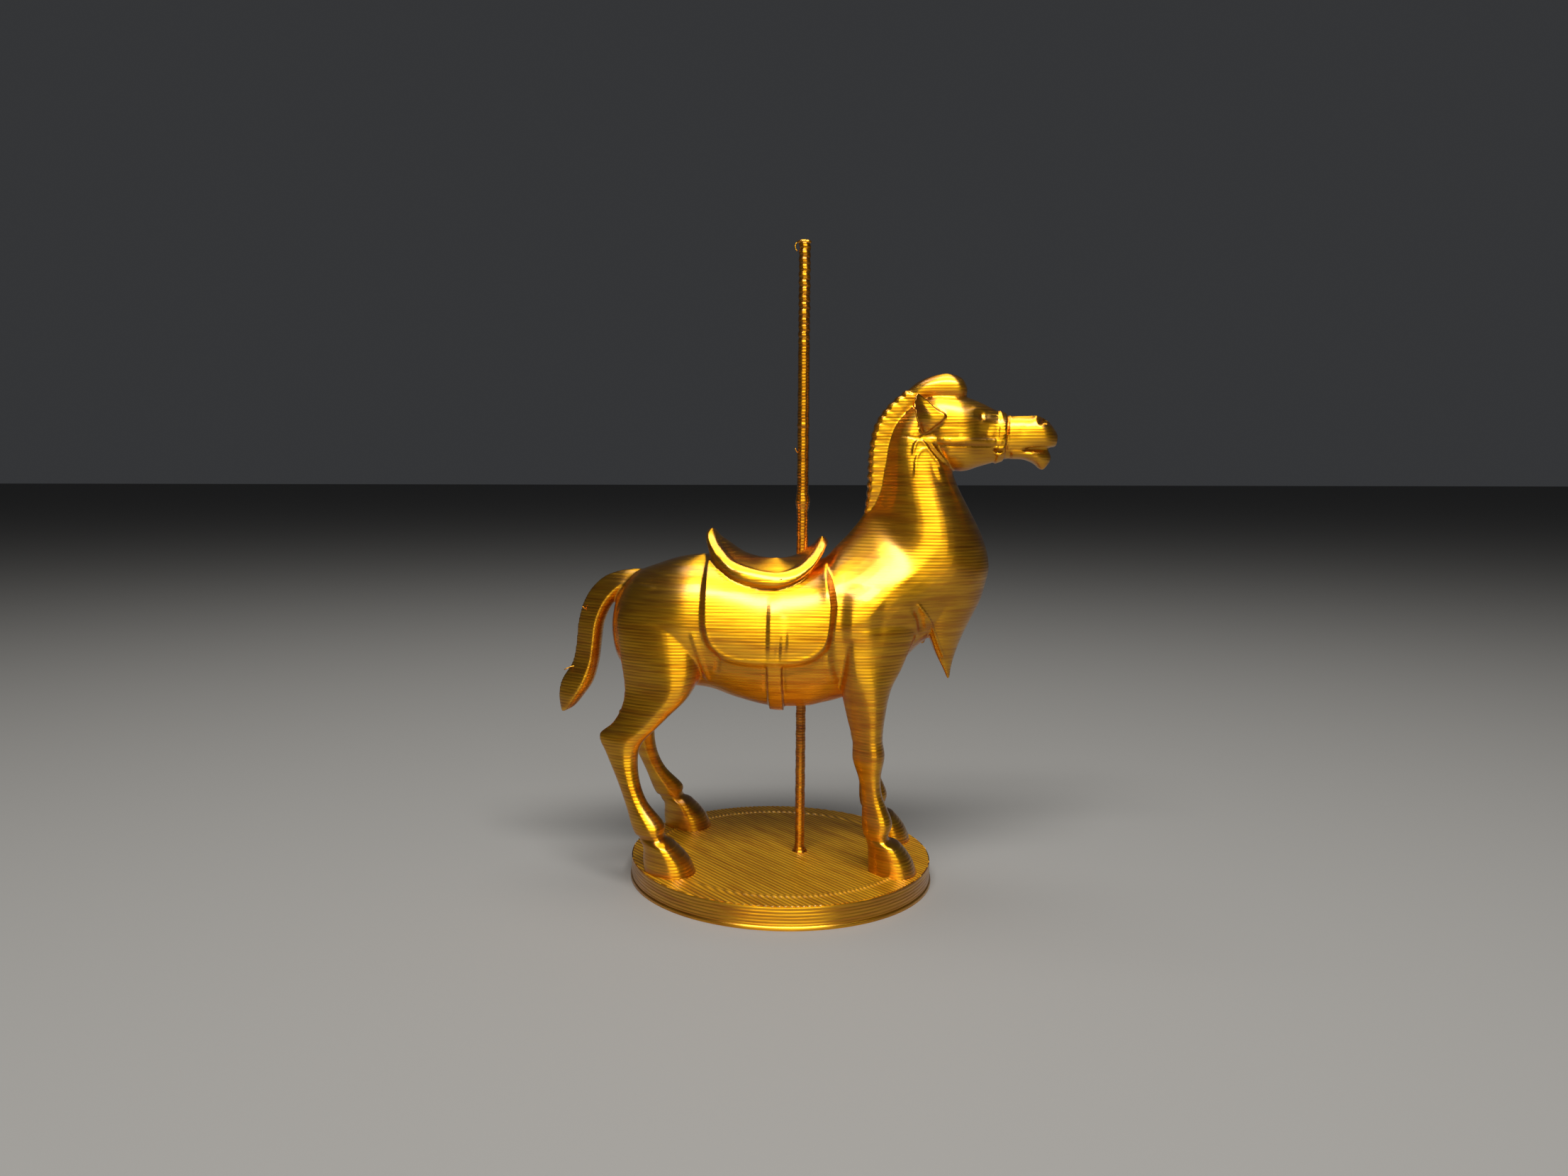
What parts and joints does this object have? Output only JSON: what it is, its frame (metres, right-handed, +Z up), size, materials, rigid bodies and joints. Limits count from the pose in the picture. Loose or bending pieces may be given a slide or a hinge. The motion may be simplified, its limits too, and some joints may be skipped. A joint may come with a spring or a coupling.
{
  "type": "carousel camel figurine",
  "caption": "Small printed figurine of a saddled carousel camel on a round base, with the carousel pole rising through its saddle; it stands on a shelf or in a model scene.",
  "frame": {"origin": "centre of the round base's flat underside", "axes": "+Z up along the pole; +X is the way the camel looks; its middle plane is y = 0, with its left side at +Y"},
  "size_m": [0.0455, 0.0282, 0.0585],
  "materials": {
    "silk_gold": "golden yellow silk plastic as printed, with fine level layer lines"
  },
  "bodies": {
    "root": {"carousel_camel": "silk_gold"}
  },
  "joints": []
}
